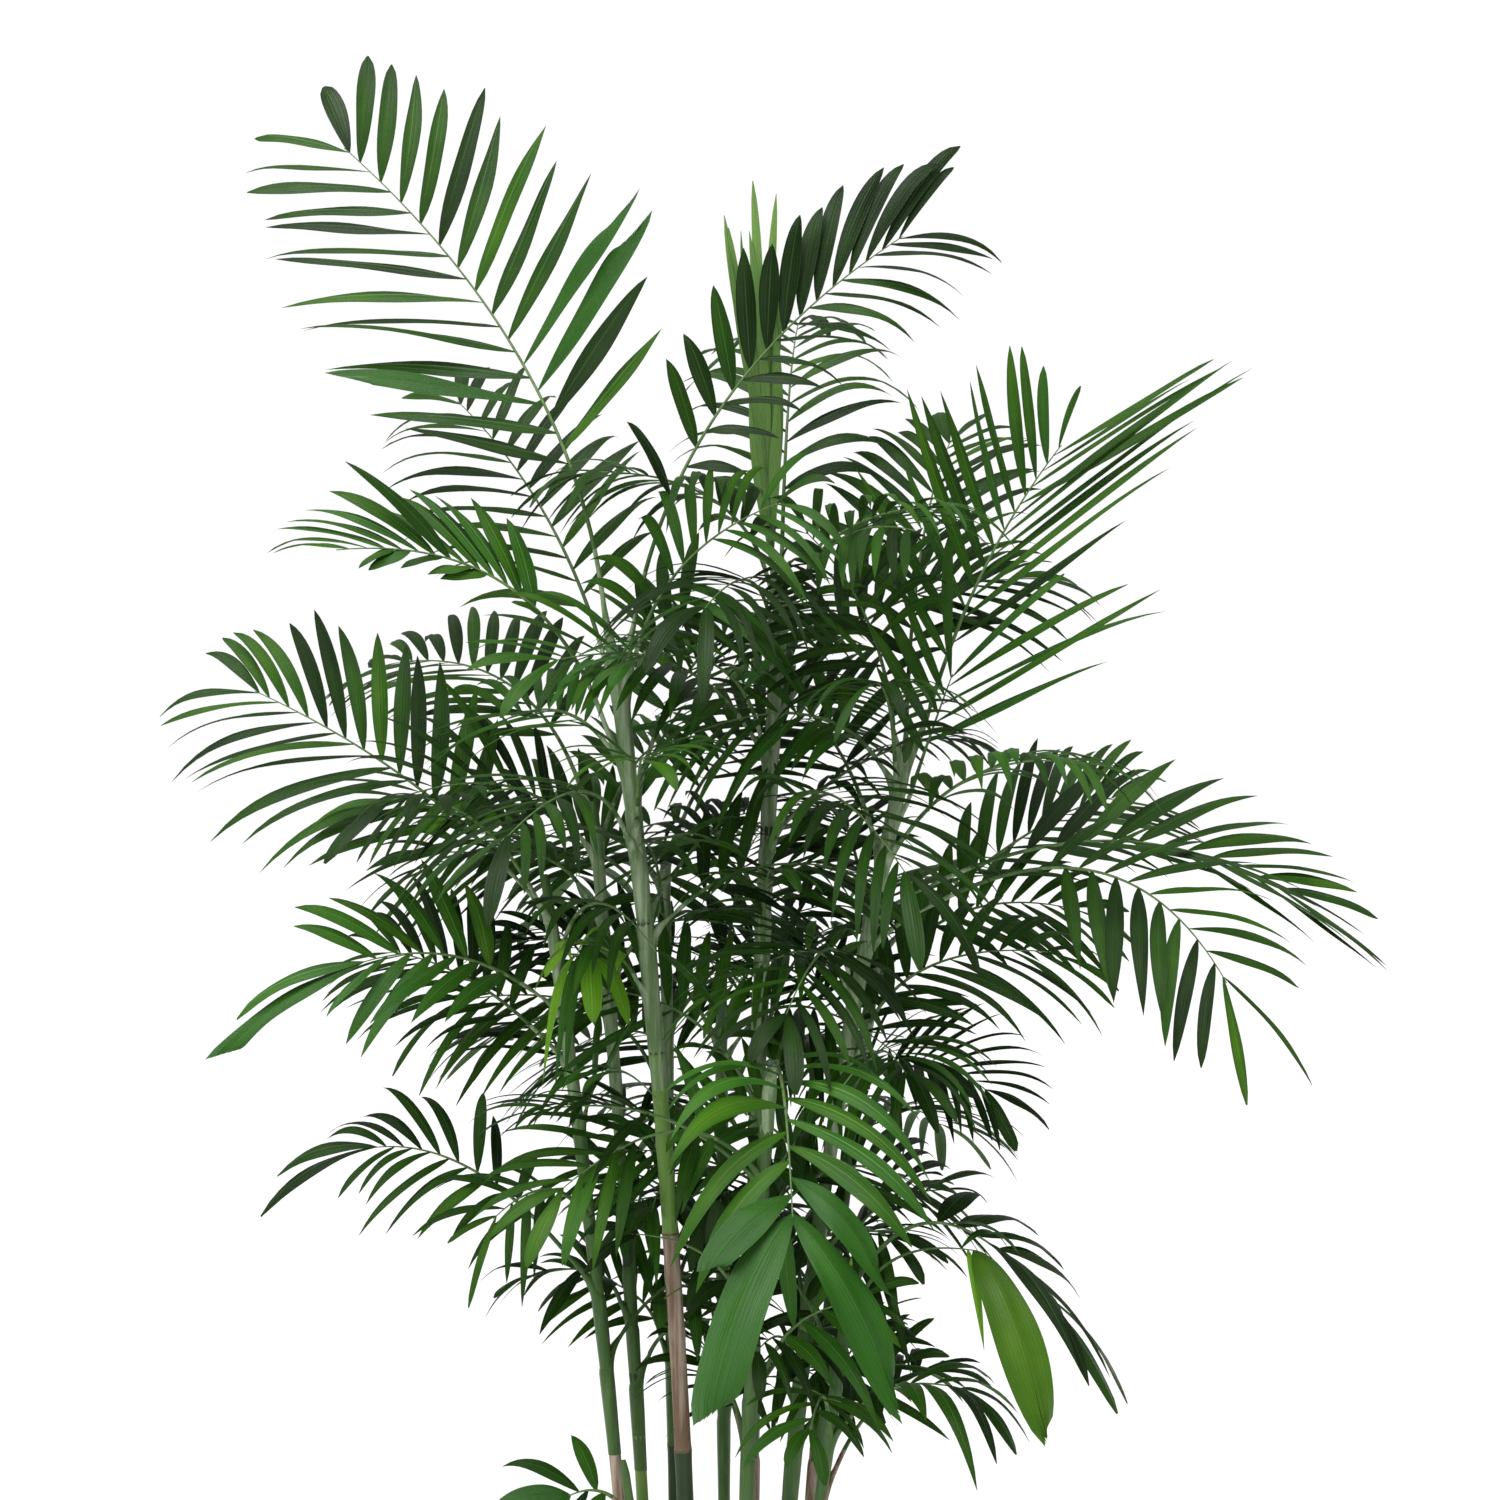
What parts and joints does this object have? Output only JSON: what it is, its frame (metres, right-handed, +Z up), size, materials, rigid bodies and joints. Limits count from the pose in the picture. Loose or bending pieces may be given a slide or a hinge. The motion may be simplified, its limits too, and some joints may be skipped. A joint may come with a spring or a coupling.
{
  "type": "potted bamboo palm",
  "caption": "Tall bamboo palm in a plain round pot: slender leaning canes rise from the soil and carry arching feather-shaped fronds of narrow leaflets.",
  "frame": {"origin": "centre of the pot's flat underside, on the floor that the pot stands on", "axes": "+Z up along the pot's axis; -Y to the front, the side that the picture shows; +X to the right"},
  "size_m": [1.3995, 1.0424, 2.1154],
  "materials": {
    "pot": "plain charcoal nursery-pot plastic, faintly pebbled, a little glossier on the rim",
    "soil": "dark moist potting mix with bark chips and a few white grains",
    "cane": "smooth ringed green stem, waxy and bluish above, with dry papery sheaths near the foot",
    "leaf": "thin satin green leaf with a raised midrib and fine lengthwise veins",
    "young_leaf": "soft pale green of a frond that is still unfolding"
  },
  "bodies": {
    "root": {"pot": "pot", "soil": "soil", "cane_front": "cane", "cane_low_front": "cane", "cane_low_right": "cane", "cane_right": "cane", "cane_left": "cane", "cane_middle": "cane", "cane_back_right": "cane", "cane_back_left": "cane", "cane_back_middle": "cane", "cane_back": "cane", "cane_low_left": "cane", "frond_front_1": "leaf", "frond_front_2": "leaf", "frond_front_3": "leaf", "frond_front_4": "leaf", "frond_front_5": "leaf", "frond_front_6": "leaf", "frond_front_7": "leaf", "frond_low_front_1": "leaf", "frond_low_front_2": "leaf", "frond_low_front_3": "leaf", "frond_low_front_4": "leaf", "frond_low_right_1": "leaf", "frond_low_right_2": "leaf", "frond_low_right_3": "leaf", "frond_right_1": "leaf", "frond_right_2": "leaf", "frond_right_3": "leaf", "frond_right_4": "leaf", "frond_right_5": "leaf", "frond_right_6": "leaf", "frond_right_7": "leaf", "frond_left_1": "leaf", "frond_left_2": "leaf", "frond_left_3": "leaf", "frond_left_4": "leaf", "frond_left_5": "leaf", "frond_left_6": "leaf", "frond_middle_1": "young_leaf", "frond_middle_2": "leaf", "frond_middle_3": "leaf", "frond_middle_4": "leaf", "frond_middle_5": "leaf", "frond_middle_6": "leaf", "frond_back_right_1": "leaf", "frond_back_right_2": "leaf", "frond_back_right_3": "leaf", "frond_back_left_1": "leaf", "frond_back_left_2": "leaf", "frond_back_left_3": "leaf", "frond_back_middle_1": "leaf", "frond_back_middle_2": "leaf", "frond_back_1": "leaf", "frond_back_2": "leaf", "frond_back_3": "leaf", "frond_back_4": "leaf", "frond_back_5": "leaf", "frond_low_left_1": "leaf"}
  },
  "joints": []
}
